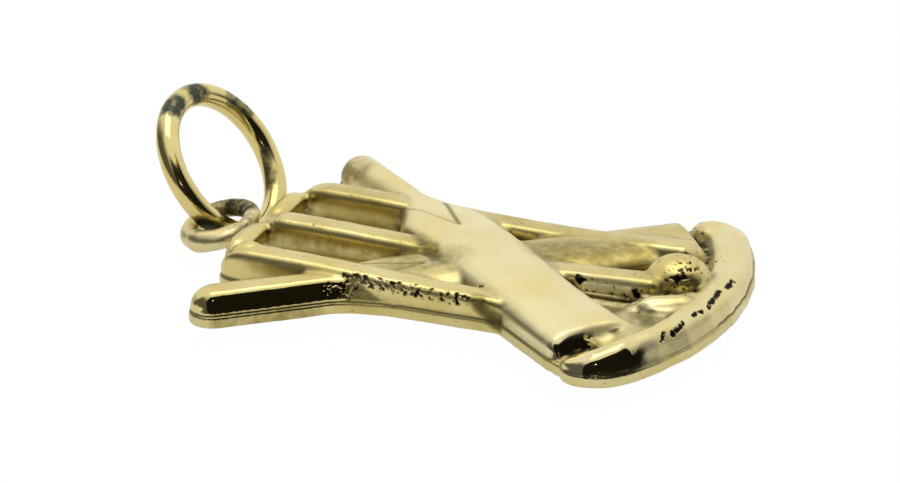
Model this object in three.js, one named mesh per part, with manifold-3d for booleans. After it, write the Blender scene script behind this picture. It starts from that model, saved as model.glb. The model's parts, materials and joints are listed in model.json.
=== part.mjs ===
// Cricket charm: two crossed bats on a wicket, with a ball and a curved strip of ground,
// soldered on a pierced back plate and hung from a loose jump ring.
// Millimetres. +X is to the right of the face, +Y runs up the wicket to the hanging eye
// and +Z leaves the face. The origin is on the flat back, under the crossing of the bats.
import * as THREE from "three";
import { mergeVertices } from "three/addons/utils/BufferGeometryUtils.js";
import Module from "manifold-3d";

const wasm = await Module();
wasm.setup();
const { clamp, degToRad, lerp, smoothstep } = THREE.MathUtils;

// Room for solder between fixed pieces, and the play of the loose ring on its eye
const SOLDER_GAP = 0.04;
const RING_PLAY = 0.1;

// Back plate
const PLATE_THICKNESS = 0.5;
const PLATE_LEDGE = 0.06;
const PLATE_BEVEL = 0.1;
const FLOOR_INSET = 0.06;

// Wicket: heights are above the plate, places along Y
const CROSSING_CLEARANCE = 0.366;
const STUMP_WIDTH = 1.26;
const STUMP_WAIST_WIDTH = 1.18;
const STUMP_HEAD_HEIGHT = 1.12;
const STUMP_WAIST_HEIGHT = 0.76;
const STUMP_FOOT_HEIGHT = 0.92;
const STUMP_WAIST_Y = -1.8;
const STUMP_FOOT_Y = -6.9;
const LEFT_FOOT_RISE = 0.9;
const LEFT_FOOT_HEIGHT = 0.6;
const STUMP_TIP_Y = 9.42;
const MIDDLE_TIP_RISE = 0.2;
const STUMP_DOME = 1.35;
const STUMP_FOOT_ROUND = 0.5;
const STUMP_POWER = 4.4;

// Bails, turned with a barrel between two spigots
const BAIL_BARREL_DIAMETER = 0.92;
const BAIL_SPIGOT_DIAMETER = 0.56;
const BAIL_BARREL_LENGTH = 1.8;
const BAIL_SHOULDER = 0.22;
const BAIL_SWELL_SHARE = 0.8;
const BAIL_LENGTH = 2.96;
const BAIL_BACK_FROM_TIP = 0.27;
const BAIL_HEIGHT = 0.48;

// Bats: places along the axis are from the crossing, towards the handle
const BAT_ANGLE = degToRad(38.85);
const HANDLE_END = 11.28;
const FRONT_HANDLE_EXTRA = 0.3;
const TOE_END = 8.06;
const GRIP_WIDTH = 1.68;
const NECK_WIDTH = 1.5;
const BLADE_WIDTH = 3.62;
const NECK_START = 6.2;
const SHOULDER_END = 3.5;
const HANDLE_DOME = 0.95;
const TOE_ROUND = 0.5;
const TOE_SHARES = [0.84, 0.93, 0.98, 1];
const TOE_DROP_POWER = 1.5;
const TOE_LEAN = degToRad(27);
const FRONT_HANDLE_POWER = 2.2;
const REAR_HANDLE_POWER = 6;
const BLADE_POWER = 3.1;
const FRONT_BLADE_HOLLOW = 0.34;
const REAR_DRAFT = degToRad(20);
const REAR_BAT_HEIGHT = 0.78;
const FRONT_HANDLE_HEIGHT = 1.04;
const FRONT_CROSSING_HEIGHT = 1.14;
const FRONT_TOE_HEIGHT = 0.8;
const SPLICE_POINT = 2.5;
const SPLICE_HALF_ANGLE = degToRad(15.4);

// Half laps: what is left of the rear bat under a stump, and of a stump under the front bat
const REAR_LAP_THICKNESS = 0.26;
const STUMP_LAP_THICKNESS = 0.26;

// Ground rim, a strip bent to an arc, with a lobe beside the foot of the middle stump
const RIM_OUTER_RADIUS = 12.9;
const RIM_BOTTOM_Y = -9.5;
const RIM_WIDTH = 1.66;
const RIM_NEAR_INSIDE = 0.38;
const RIM_NARROW_ANGLE = degToRad(20);
const RIM_WIDE_ANGLE = degToRad(5);
const RIM_NEAR_HEIGHT = 0.85;
const RIM_FAR_HEIGHT = 0.54;
const RIM_END_HEIGHT = 0.3;
const RIM_DRAFT = degToRad(20);
const RIM_HALF_ANGLE = degToRad(27.6);
const RIM_CURL_RADIUS = 1.3;
const RIM_END_ANGLE = degToRad(118);
const RIM_OUTER_POWER = 4.2;
const RIM_INNER_POWER = 4;
const LOBE_ROOT = new THREE.Vector2(-1, -8.5);
const LOBE_TIP = new THREE.Vector2(-2.2, -6.45);
const LOBE_ROOT_WIDTH = 2.6;
const LOBE_TIP_WIDTH = 0.6;
const LOBE_TIP_ROUND = 0.8;
const LOBE_HEIGHT = 0.7;
const GROUND_HEIGHT = 0.33;
const GROUND_TILT = degToRad(2.5);
const GROUND_INNER_RADIUS = 9.6;
const TOE_BAY_RADIUS = 1.5;

// Ball, pressed a little flat and standing on the plate by a flat seat
const BALL_DIAMETER = 2.36;
const BALL_FLATTENING = 0.66;
const BALL_X = 1.03;
const BALL_Y = -6.98;
const BALL_HEIGHT = 0.59;

// Hanging eye, soldered to the tip of the middle stump
const EYE_RADIUS = 1.25;
const EYE_WIRE = 0.72;
const EYE_X = 0.3;
const EYE_HEIGHT = 0.14;
const EYE_PITCH = degToRad(-11.6);
const EYE_ROLL = degToRad(-11.8);

// Jump ring, hung on the eye's right side and leaning outwards
const RING_RADIUS = 2.88;
const RING_WIRE = 0.9;
const LINK_ANGLE = degToRad(15.2);
const RING_AZIMUTH = degToRad(30.1);
const RING_RISE = degToRad(39.9);
const RING_TWIST = degToRad(-26);

// Smoothness of the facets
const SECTION_STEPS = 14;
const DOME_STEPS = 5;
const DOME_START = 0.08;
const SHOULDER_STEPS = 4;
const BLADE_STEPS = 5;
const STUMP_STEPS = 4;
const RIM_STEPS = 22;
const ROUND_STEPS = 20;
const HOOP_STEPS = 44;
const WIRE_STEPS = 14;
const BEVEL_STEPS = 2;
const WELD_DISTANCE = 1e-4;
const STRAIGHT_TURN = 1e-3;

// Levels and places worked out from the sizes above
const BASE = PLATE_THICKNESS + SOLDER_GAP;
const REAR_LAP = BASE + REAR_LAP_THICKNESS;
const STUMP_LAP = REAR_LAP + SOLDER_GAP + STUMP_LAP_THICKNESS;
const STUMP_SPACING = BLADE_WIDTH / 2 / Math.cos(BAT_ANGLE) + CROSSING_CLEARANCE + STUMP_WIDTH / 2;
const BAIL_Y = STUMP_TIP_Y - BAIL_BACK_FROM_TIP;
const RIM_CENTRE = new THREE.Vector2(0, RIM_BOTTOM_Y + RIM_OUTER_RADIUS);
const RIM_MID_RADIUS = RIM_OUTER_RADIUS - RIM_WIDTH / 2;
const RIM_CURL_OFFSET = RIM_MID_RADIUS - RIM_CURL_RADIUS;
const REACH = 4 * HANDLE_END;

const brightGold = { color: 0xe6d9a2, roughness: 0.28, metalness: 1 };
const satinGold = { color: 0xeadfb4, roughness: 0.42, metalness: 1 };
const dullGold = { color: 0xb9a86c, roughness: 0.6, metalness: 1 };

// Solids from closed geometry, and back
function solidOf(geometry) {
  const bare = geometry.clone();
  bare.deleteAttribute("normal");
  bare.deleteAttribute("uv");
  const merged = mergeVertices(bare, WELD_DISTANCE);
  const vertProperties = merged.attributes.position.array;
  const triVerts = new Uint32Array(merged.index.array);
  return new wasm.Manifold(new wasm.Mesh({ numProp: 3, vertProperties, triVerts }));
}

function geometryOf(solid) {
  const { vertProperties, triVerts } = solid.getMesh();
  const geometry = new THREE.BufferGeometry();
  geometry.setAttribute("position", new THREE.BufferAttribute(vertProperties, 3));
  geometry.setIndex(new THREE.BufferAttribute(triVerts, 1));
  geometry.computeVertexNormals();
  return geometry;
}

function piece(name, geometry, finish) {
  const mesh = new THREE.Mesh(geometry, new THREE.MeshStandardMaterial(finish));
  mesh.name = name;
  return mesh;
}

function union(solids) {
  return solids.reduce((whole, solid) => whole.add(solid));
}

// Everything below or above a level
function halfSpace(level, up) {
  const block = new THREE.BoxGeometry(REACH, REACH, REACH);
  block.translate(0, 0, level + (up ? REACH / 2 : -REACH / 2));
  return solidOf(block);
}

// Half a superellipse on a flat base, as [across, height] pairs from the right edge to the left.
// A draft angle leans its sides inwards.
function archSection({ half, top, rightPower, draft = 0, base = BASE, ...left }) {
  const { leftHalf = half, leftPower = rightPower } = left;
  const points = [];
  for (let i = 0; i <= SECTION_STEPS; i++) {
    const angle = (Math.PI * i) / SECTION_STEPS;
    const right = i < SECTION_STEPS / 2;
    const power = 2 / (right ? rightPower : leftPower);
    const across = Math.abs(Math.cos(angle)) ** power * Math.sign(Math.cos(angle));
    const height = (top - base) * Math.abs(Math.sin(angle)) ** power;
    const side = (right ? half : leftHalf) - Math.tan(draft) * height;
    points.push([side * across, base + height]);
  }
  return points;
}

// A closed skin through convex sections that follow each other along a path
function loft(sections) {
  const count = sections[0].length;
  const index = [];
  for (let j = 0; j + 1 < sections.length; j++) {
    for (let i = 0; i < count; i++) {
      const a = j * count + i;
      const b = j * count + ((i + 1) % count);
      index.push(a, a + count, b, b, a + count, b + count);
    }
  }
  const last = (sections.length - 1) * count;
  for (let i = 1; i + 1 < count; i++) {
    index.push(0, i, i + 1, last, last + i + 1, last + i);
  }
  const geometry = new THREE.BufferGeometry().setFromPoints(sections.flat());
  geometry.setIndex(index);
  return solidOf(geometry);
}

// A section may lean along the path, by a slope from its foot
function sweep(stations, place) {
  return loft(
    stations.map((station) =>
      archSection(station).map(([across, height]) => {
        const lean = (station.slope ?? 0) * (height - BASE);
        return place(station.along + lean, across, height);
      }),
    ),
  );
}

// Places on a straight axis that leaves the origin's height line at an angle from +Y
function straight(x, turn) {
  return (along, across, height) =>
    new THREE.Vector3(
      x + along * Math.sin(turn) + across * Math.cos(turn),
      along * Math.cos(turn) - across * Math.sin(turn),
      height,
    );
}

// A rounded end, from its tip inwards: the distance from the tip and the share of the full size
function domeSteps(length) {
  const steps = [];
  for (let i = 0; i <= DOME_STEPS; i++) {
    const angle = (Math.PI / 2) * lerp(DOME_START, 1, i / DOME_STEPS);
    steps.push({ fromTip: length * (1 - Math.cos(angle)), share: Math.sin(angle) });
  }
  return steps;
}

// Stumps: tapered bars with a flat back, a domed head and a rounded foot
const stumps = [
  {
    name: "left_stump",
    x: -STUMP_SPACING,
    foot: STUMP_FOOT_Y + LEFT_FOOT_RISE,
    footHeight: LEFT_FOOT_HEIGHT,
    tip: STUMP_TIP_Y,
  },
  {
    name: "middle_stump",
    x: 0,
    foot: STUMP_FOOT_Y,
    footHeight: STUMP_FOOT_HEIGHT,
    tip: STUMP_TIP_Y + MIDDLE_TIP_RISE,
  },
  {
    name: "right_stump",
    x: STUMP_SPACING,
    foot: STUMP_FOOT_Y,
    footHeight: STUMP_FOOT_HEIGHT,
    tip: STUMP_TIP_Y,
  },
];

// The bars are dressed down at the waist, where the bats cross them, and swell towards both ends
function stumpSize({ foot, footHeight, tip }, along) {
  const above = along > STUMP_WAIST_Y;
  const swell = above
    ? smoothstep(along, STUMP_WAIST_Y, tip - STUMP_DOME)
    : 1 - smoothstep(along, foot, STUMP_WAIST_Y);
  return {
    half: lerp(STUMP_WAIST_WIDTH, STUMP_WIDTH, swell) / 2,
    height: lerp(STUMP_WAIST_HEIGHT, above ? STUMP_HEAD_HEIGHT : footHeight, swell),
  };
}

function stumpStations(stump, grow) {
  const { foot, tip } = stump;
  const station = (along, share) => {
    const { half, height } = stumpSize(stump, along);
    return {
      along,
      half: half * share + grow,
      top: BASE + height * share + grow,
      rightPower: STUMP_POWER,
      base: BASE - grow,
    };
  };
  const low = domeSteps(STUMP_FOOT_ROUND).map((step) => station(foot - grow + step.fromTip, step.share));
  const high = domeSteps(STUMP_DOME).map((step) => station(tip + grow - step.fromTip, step.share));
  const middle = [];
  for (let i = 1 - STUMP_STEPS; i < STUMP_STEPS; i++) {
    const end = i < 0 ? foot + STUMP_FOOT_ROUND : tip - STUMP_DOME;
    middle.push(station(lerp(STUMP_WAIST_Y, end, Math.abs(i) / STUMP_STEPS), 1));
  }
  return [...low, ...middle, ...high.reverse()];
}

function stumpSolid(stump, grow = 0) {
  return sweep(stumpStations(stump, grow), straight(stump.x, 0));
}

// Bats: a round handle that swells at the shoulders into a flat blade. The front blade's right side is
// worn a little hollow.
function batHalfWidth(along, end) {
  if (along > NECK_START) {
    return lerp(NECK_WIDTH, GRIP_WIDTH, (along - NECK_START) / (end - NECK_START)) / 2;
  }
  return lerp(BLADE_WIDTH, NECK_WIDTH, smoothstep(along, SHOULDER_END, NECK_START)) / 2;
}

function batPlaces() {
  const places = [];
  for (let i = 1; i <= BLADE_STEPS; i++) {
    places.push(lerp(TOE_ROUND - TOE_END, SHOULDER_END, i / BLADE_STEPS));
  }
  for (let i = 1; i <= SHOULDER_STEPS; i++) {
    places.push(lerp(SHOULDER_END, NECK_START, i / SHOULDER_STEPS));
  }
  return places;
}

function batStations({ end, hollow, heightAt, handlePower, draft }, grow) {
  const station = (along, share) => {
    const blade = 1 - smoothstep(along, SHOULDER_END, NECK_START);
    const half = batHalfWidth(along, end);
    return {
      along,
      half: (half - hollow * Math.sin(Math.PI * clamp(-along / TOE_END, 0, 1))) * share + grow,
      leftHalf: half * share + grow,
      top: BASE + heightAt(along) * share + grow,
      rightPower: lerp(handlePower, BLADE_POWER, blade),
      draft,
      base: BASE - grow,
    };
  };
  const toe = TOE_SHARES.map((share, i, all) => {
    const inward = i / (all.length - 1);
    const along = TOE_ROUND * inward - TOE_END - (i ? 0 : grow);
    return { ...station(along, share), slope: Math.tan(TOE_LEAN) * (1 - inward) };
  });
  const middle = batPlaces().map((along) => station(along, 1));
  const grip = domeSteps(HANDLE_DOME).map((step) =>
    station(end + grow - step.fromTip, step.share),
  );
  return [...toe, ...middle, ...grip.reverse()];
}

function frontBatHeight(along) {
  if (along > 0) {
    return lerp(FRONT_CROSSING_HEIGHT, FRONT_HANDLE_HEIGHT, along / HANDLE_END);
  }
  return lerp(FRONT_CROSSING_HEIGHT, FRONT_TOE_HEIGHT, (-along / TOE_END) ** TOE_DROP_POWER);
}

const bats = {
  front: {
    turn: BAT_ANGLE,
    end: HANDLE_END + FRONT_HANDLE_EXTRA,
    hollow: FRONT_BLADE_HOLLOW,
    heightAt: frontBatHeight,
    handlePower: FRONT_HANDLE_POWER,
    draft: 0,
  },
  rear: {
    turn: -BAT_ANGLE,
    end: HANDLE_END,
    hollow: 0,
    heightAt: () => REAR_BAT_HEIGHT,
    handlePower: REAR_HANDLE_POWER,
    draft: REAR_DRAFT,
  },
};

function batSolid(bat, grow = 0) {
  return sweep(batStations(bat, grow), straight(0, bat.turn));
}

// The wedge of a bat's splice: the handle runs into the blade as a V
function spliceWedge({ turn }, gap = 0) {
  const point = SPLICE_POINT - gap / Math.sin(SPLICE_HALF_ANGLE);
  const spread = (REACH - point) * Math.tan(SPLICE_HALF_ANGLE);
  const outline = new THREE.Shape([
    new THREE.Vector2(0, point),
    new THREE.Vector2(spread, REACH),
    new THREE.Vector2(-spread, REACH),
  ]);
  const wedge = new THREE.ExtrudeGeometry(outline, { depth: REACH, bevelEnabled: false });
  wedge.rotateZ(-turn);
  return solidOf(wedge);
}

// Ground rim: a wide arc whose ends curl up tightly beside the toes of the bats
function onRim(angle, across, height) {
  const wide = clamp(angle, -RIM_HALF_ANGLE, RIM_HALF_ANGLE);
  const radius = RIM_CURL_RADIUS + across;
  return new THREE.Vector3(
    RIM_CENTRE.x + RIM_CURL_OFFSET * Math.sin(wide) + radius * Math.sin(angle),
    RIM_CENTRE.y - RIM_CURL_OFFSET * Math.cos(wide) - radius * Math.cos(angle),
    height,
  );
}

// The strip falls from its near shoulder to the far end, and runs out beside the near toe
function rimHeight(angle) {
  const fall = lerp(RIM_NEAR_HEIGHT, RIM_FAR_HEIGHT, smoothstep(angle, -RIM_HALF_ANGLE, RIM_HALF_ANGLE));
  return lerp(RIM_END_HEIGHT, fall, smoothstep(angle, -RIM_END_ANGLE, -RIM_HALF_ANGLE));
}

// Its near part is a narrow ridge, with its inner side set back
function rimInside(angle) {
  const widening = smoothstep(angle, -RIM_NARROW_ANGLE, -RIM_WIDE_ANGLE);
  return lerp(RIM_NEAR_INSIDE, RIM_WIDTH / 2, widening);
}

function rimStations() {
  const station = (along, share) => ({
    along,
    half: (RIM_WIDTH / 2) * share,
    leftHalf: rimInside(along) * share,
    top: BASE + rimHeight(along) * share,
    rightPower: RIM_OUTER_POWER,
    leftPower: RIM_INNER_POWER,
    draft: RIM_DRAFT,
  });
  const round = RIM_WIDTH / 2 / RIM_CURL_RADIUS;
  const ends = domeSteps(round).map((step) => ({ angle: RIM_END_ANGLE - step.fromTip, ...step }));
  const near = ends.map(({ angle, share }) => station(-angle, share));
  const far = ends.map(({ angle, share }) => station(angle, share));
  const reach = RIM_END_ANGLE - round;
  const middle = [];
  for (let i = 1; i < RIM_STEPS; i++) {
    middle.push(station(lerp(-reach, reach, i / RIM_STEPS), 1));
  }
  return [...near, ...middle, ...far.reverse()];
}

function lobeSolid() {
  const run = LOBE_TIP.clone().sub(LOBE_ROOT);
  const length = run.length();
  const turn = Math.atan2(run.x, run.y);
  const stations = [{ along: 0, half: LOBE_ROOT_WIDTH / 2, top: BASE + LOBE_HEIGHT }];
  const tip = domeSteps(LOBE_TIP_ROUND).map((step) => ({
    along: length - step.fromTip,
    half: (lerp(LOBE_TIP_WIDTH, LOBE_ROOT_WIDTH, step.fromTip / length) / 2) * step.share,
    top: BASE + LOBE_HEIGHT * step.share,
  }));
  stations.push(...tip.reverse());
  const place = straight(0, turn);
  const move = new THREE.Vector3(LOBE_ROOT.x, LOBE_ROOT.y, 0);
  return sweep(
    stations.map((station) => ({ ...station, rightPower: RIM_OUTER_POWER })),
    (along, across, height) => place(along, across, height).add(move),
  );
}

// Ball and bails
function ballSolid(grow = 0) {
  const radius = BALL_DIAMETER / 2;
  const ball = new THREE.SphereGeometry(1, ROUND_STEPS, ROUND_STEPS / 2);
  ball.rotateX(Math.PI / 2);
  ball.scale(radius + grow, radius + grow, radius * BALL_FLATTENING + grow);
  ball.translate(BALL_X, BALL_Y, BASE + BALL_HEIGHT);
  return solidOf(ball);
}

const bails = [
  { name: "left_bail", x: -STUMP_SPACING / 2 },
  { name: "right_bail", x: STUMP_SPACING / 2 },
];

function bailGeometry(x, grow = 0) {
  const barrel = BAIL_BARREL_DIAMETER / 2 + grow;
  const spigot = BAIL_SPIGOT_DIAMETER / 2 + grow;
  const half = BAIL_LENGTH / 2 + grow;
  const swell = BAIL_BARREL_LENGTH / 2 + grow;
  const profile = [
    [0, -half],
    [spigot, -half],
    [spigot, -swell - BAIL_SHOULDER],
    [lerp(spigot, barrel, BAIL_SWELL_SHARE), -swell],
    [barrel, 0],
    [lerp(spigot, barrel, BAIL_SWELL_SHARE), swell],
    [spigot, swell + BAIL_SHOULDER],
    [spigot, half],
    [0, half],
  ].map(([radius, along]) => new THREE.Vector2(radius, along));
  const spool = new THREE.LatheGeometry(profile, ROUND_STEPS);
  spool.rotateZ(-Math.PI / 2);
  spool.translate(x, BAIL_Y, BASE + BAIL_HEIGHT);
  return spool;
}

// The groove that a bail lies in, open to the face
function bailGroove(x) {
  const groove = solidOf(bailGeometry(x, SOLDER_GAP));
  const width = BAIL_SPIGOT_DIAMETER + 2 * SOLDER_GAP;
  const slot = new THREE.BoxGeometry(BAIL_LENGTH + 2 * SOLDER_GAP, width, REACH);
  slot.translate(x, BAIL_Y, BASE + BAIL_HEIGHT + REACH / 2);
  return groove.add(solidOf(slot));
}

// Back plate: the outline of every bar with a small ledge, and a floor inside the rim
function slab(outline) {
  const geometry = new THREE.ExtrudeGeometry(outline, {
    depth: PLATE_THICKNESS - 2 * PLATE_BEVEL,
    bevelThickness: PLATE_BEVEL,
    bevelSize: PLATE_BEVEL,
    bevelOffset: PLATE_LEDGE - PLATE_BEVEL,
    bevelSegments: BEVEL_STEPS,
    curveSegments: ROUND_STEPS / 2,
  });
  geometry.translate(0, 0, PLATE_BEVEL);
  return solidOf(geometry);
}

// A closed outline without the points that lie on a straight run
function shapeOf(points) {
  const run = (from, to) => new THREE.Vector2(to.x - from.x, to.y - from.y).normalize();
  const corners = points.filter((point, i) => {
    const next = points[(i + 1) % points.length];
    return Math.abs(run(points.at(i - 1), point).cross(run(point, next))) > STRAIGHT_TURN;
  });
  return new THREE.Shape(corners.map(({ x, y }) => new THREE.Vector2(x, y)));
}

function outlineOf(stations, place) {
  const right = stations.map(({ along, half }) => place(along, half, 0));
  const left = stations.map(({ along, half, leftHalf = half }) => place(along, -leftHalf, 0));
  return shapeOf([...right, ...left.reverse()]);
}

// From the crossing to the outer corners of the toes, and along the outer half of the rim
function floorOutline() {
  const half = BLADE_WIDTH / 2 - FLOOR_INSET;
  const corner = (turn, side) => straight(0, turn)(FLOOR_INSET - TOE_END, side * half, 0);
  const points = [new THREE.Vector3(), corner(BAT_ANGLE, -1)];
  for (let i = 0; i <= RIM_STEPS; i++) {
    points.push(onRim(lerp(-RIM_END_ANGLE, RIM_END_ANGLE, i / RIM_STEPS), RIM_WIDTH / 4, 0));
  }
  points.push(corner(-BAT_ANGLE, 1));
  return shapeOf(points);
}

// An upright round column
function column({ x, y }, radius, steps) {
  const round = new THREE.CylinderGeometry(radius, radius, REACH, steps);
  round.rotateX(Math.PI / 2);
  round.translate(x, y, 0);
  return solidOf(round);
}

// The ground inside the rim, filled up to a level that falls from the near toe to the far one,
// with a bay at the near corner of the toe
function groundSolid() {
  const fill = new THREE.ExtrudeGeometry(floorOutline(), { depth: REACH, bevelEnabled: false });
  fill.translate(0, 0, BASE);
  const air = new THREE.BoxGeometry(REACH, REACH, 2 * REACH);
  air.translate(0, 0, REACH);
  air.rotateY(GROUND_TILT);
  air.translate(0, 0, BASE + GROUND_HEIGHT);
  const open = column(RIM_CENTRE, GROUND_INNER_RADIUS, 2 * HOOP_STEPS);
  const bay = column(straight(0, BAT_ANGLE)(-TOE_END, -BLADE_WIDTH / 2, 0), TOE_BAY_RADIUS, ROUND_STEPS);
  return solidOf(fill).subtract(union([open, bay, solidOf(air)]));
}

function plateSolid() {
  const outlines = [outlineOf(rimStations(), onRim), floorOutline()];
  for (const stump of stumps) {
    outlines.push(outlineOf(stumpStations(stump, 0), straight(stump.x, 0)));
  }
  for (const bat of Object.values(bats)) {
    outlines.push(outlineOf(batStations(bat, 0), straight(0, bat.turn)));
  }
  return union(outlines.map(slab));
}

// Hanging eye and jump ring
function hoop(radius, wire) {
  return new THREE.TorusGeometry(radius, wire / 2, WIRE_STEPS, HOOP_STEPS);
}

function hangingEye() {
  const eye = piece("hanging_eye", hoop(EYE_RADIUS, EYE_WIRE), brightGold);
  const y = STUMP_TIP_Y + MIDDLE_TIP_RISE + SOLDER_GAP + EYE_WIRE / 2 + EYE_RADIUS;
  eye.position.set(EYE_X, y, BASE + EYE_HEIGHT);
  eye.rotation.set(EYE_PITCH, EYE_ROLL, 0);
  eye.updateMatrix();
  return eye;
}

function jumpRing(eye) {
  const linkRadius = new THREE.Vector3(Math.cos(LINK_ANGLE), Math.sin(LINK_ANGLE), 0);
  const link = linkRadius.clone().multiplyScalar(EYE_RADIUS).applyMatrix4(eye.matrix);
  const wireRun = new THREE.Vector3(-linkRadius.y, linkRadius.x, 0).transformDirection(eye.matrix);
  const out = new THREE.Vector3(
    Math.cos(RING_AZIMUTH) * Math.cos(RING_RISE),
    Math.sin(RING_AZIMUTH) * Math.cos(RING_RISE),
    Math.sin(RING_RISE),
  );
  const normal = wireRun.clone().projectOnPlane(out).normalize().applyAxisAngle(out, RING_TWIST);
  const ring = piece("jump_ring", hoop(RING_RADIUS, RING_WIRE), brightGold);
  const reach = RING_RADIUS - RING_WIRE / 2 - EYE_WIRE / 2 - RING_PLAY;
  ring.position.copy(link).addScaledVector(out, reach);
  ring.quaternion.setFromUnitVectors(new THREE.Vector3(0, 0, 1), normal);
  return ring;
}

// Assembly
const aboveRearLap = halfSpace(REAR_LAP, true);
const belowRearLap = halfSpace(REAR_LAP + SOLDER_GAP, false);
const aboveStumpLap = halfSpace(STUMP_LAP, true);
const belowStumpLap = halfSpace(STUMP_LAP + SOLDER_GAP, false);
const frontRoom = batSolid(bats.front, SOLDER_GAP).intersect(aboveStumpLap);
const rearRoom = batSolid(bats.rear, SOLDER_GAP);
const stumpRoom = union(stumps.map((stump) => stumpSolid(stump, SOLDER_GAP)));
const ballRoom = ballSolid(SOLDER_GAP);

function addStumps(charm) {
  const grooves = union(bails.map(({ x }) => bailGroove(x)));
  const cuts = union([frontRoom, rearRoom.intersect(belowRearLap), grooves, ballRoom]);
  for (const stump of stumps) {
    charm.add(piece(stump.name, geometryOf(stumpSolid(stump).subtract(cuts)), brightGold));
  }
}

function addBat(charm, side, cuts, finish) {
  const whole = batSolid(bats[side]).subtract(cuts);
  const handle = whole.intersect(spliceWedge(bats[side]));
  const blade = whole.subtract(spliceWedge(bats[side], SOLDER_GAP));
  charm.add(piece(`${side}_bat_handle`, geometryOf(handle), brightGold));
  charm.add(piece(`${side}_bat_blade`, geometryOf(blade), finish));
}

const charm = new THREE.Group();
charm.name = "cricket_charm";
charm.add(piece("back_plate", geometryOf(plateSolid()), dullGold));
addStumps(charm);
addBat(charm, "rear", stumpRoom.intersect(aboveRearLap).add(frontRoom), brightGold);
addBat(charm, "front", stumpRoom.add(rearRoom).intersect(belowStumpLap), satinGold);
for (const { name, x } of bails) {
  charm.add(piece(name, bailGeometry(x), brightGold));
}
const groundRoom = union([batSolid(bats.front, SOLDER_GAP), rearRoom, stumpRoom, ballRoom]);
const rim = union([sweep(rimStations(), onRim), lobeSolid(), groundSolid()]).subtract(groundRoom);
charm.add(piece("ground_rim", geometryOf(rim), brightGold));
charm.add(piece("ball", geometryOf(ballSolid().intersect(halfSpace(BASE, true))), brightGold));
const eye = hangingEye();
charm.add(eye);
charm.add(jumpRing(eye));

export default charm;
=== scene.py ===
"""Looks of a gold cricket charm: a cast skin over soldered bars, a wire ring and a studio."""

import json
import math

import bpy
import numpy as np
from bpy.props import FloatProperty, FloatVectorProperty, IntProperty, PointerProperty
from mathutils import Euler, Matrix, Vector
from mathutils.bvhtree import BVHTree


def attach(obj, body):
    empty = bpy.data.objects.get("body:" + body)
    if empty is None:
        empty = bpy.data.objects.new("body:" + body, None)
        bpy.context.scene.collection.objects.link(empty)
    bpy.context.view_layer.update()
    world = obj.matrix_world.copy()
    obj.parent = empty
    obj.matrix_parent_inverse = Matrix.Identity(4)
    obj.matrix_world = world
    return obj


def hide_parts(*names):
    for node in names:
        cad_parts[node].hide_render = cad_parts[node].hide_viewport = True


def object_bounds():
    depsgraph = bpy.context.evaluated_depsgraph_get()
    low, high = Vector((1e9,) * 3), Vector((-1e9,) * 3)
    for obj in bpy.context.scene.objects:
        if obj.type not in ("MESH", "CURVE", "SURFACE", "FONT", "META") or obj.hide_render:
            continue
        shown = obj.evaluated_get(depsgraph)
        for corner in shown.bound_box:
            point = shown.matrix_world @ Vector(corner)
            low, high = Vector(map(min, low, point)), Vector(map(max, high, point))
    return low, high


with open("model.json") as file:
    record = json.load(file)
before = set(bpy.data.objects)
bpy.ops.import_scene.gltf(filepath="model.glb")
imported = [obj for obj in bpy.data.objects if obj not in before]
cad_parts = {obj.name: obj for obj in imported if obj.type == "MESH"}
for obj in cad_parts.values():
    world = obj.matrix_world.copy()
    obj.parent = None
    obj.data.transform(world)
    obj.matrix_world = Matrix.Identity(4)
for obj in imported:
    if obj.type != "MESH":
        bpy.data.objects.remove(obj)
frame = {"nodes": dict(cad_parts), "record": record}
CAD_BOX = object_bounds()

bl_info = {
    "name": "Cricket Charm",
    "version": (1, 0, 0),
    "blender": (4, 5, 0),
    "location": "3D View > Sidebar > Charm",
    "description": "Dresses the bars, wires and back plate of a gold cricket charm",
    "category": "Object",
}

MM = 0.001
SKIN_NAME = "cast_skin"
RING_NODE = "jump_ring"
CAST_NODES = sorted(name for name in frame["nodes"] if name != RING_NODE)
MARKS = ("recess", "pit", "line", "film", "worn", "grime", "polish")

# How the metal was left, by piece, where the grime also paints shade and the wear also paints
# light: 0 leaves no mark, 1 a full one, and more a heavier one
PITTED = {
    "ball": 0.4,
    "left_stump": 0.2,
    "middle_stump": 0.25,
    "rear_bat_blade": 0.2,
    "right_stump": 0.15,
    "ground_rim": 0.1,
    "rear_bat_handle": 0.1,
    "back_plate": 0.2,
}
# Wear and painted light: the front bat, the rim and the eye go pale satin, partly as painted light
# on their lit tops
WORN_AND_LIT = {"front_bat_blade": 1.0, "front_bat_handle": 1.0, "ground_rim": 0.6, "hanging_eye": 2.0}
# Grime and painted shade: the rear blade and the stump sides are darkened where shade falls on them
GRIMY_AND_SHADED = {"rear_bat_blade": 0.2, "right_stump": 0.25, "middle_stump": 0.15, "hanging_eye": 0.2}
MELTED = {"left_bail": 1.0, "right_bail": 1.0, "ball": 0.6}

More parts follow.
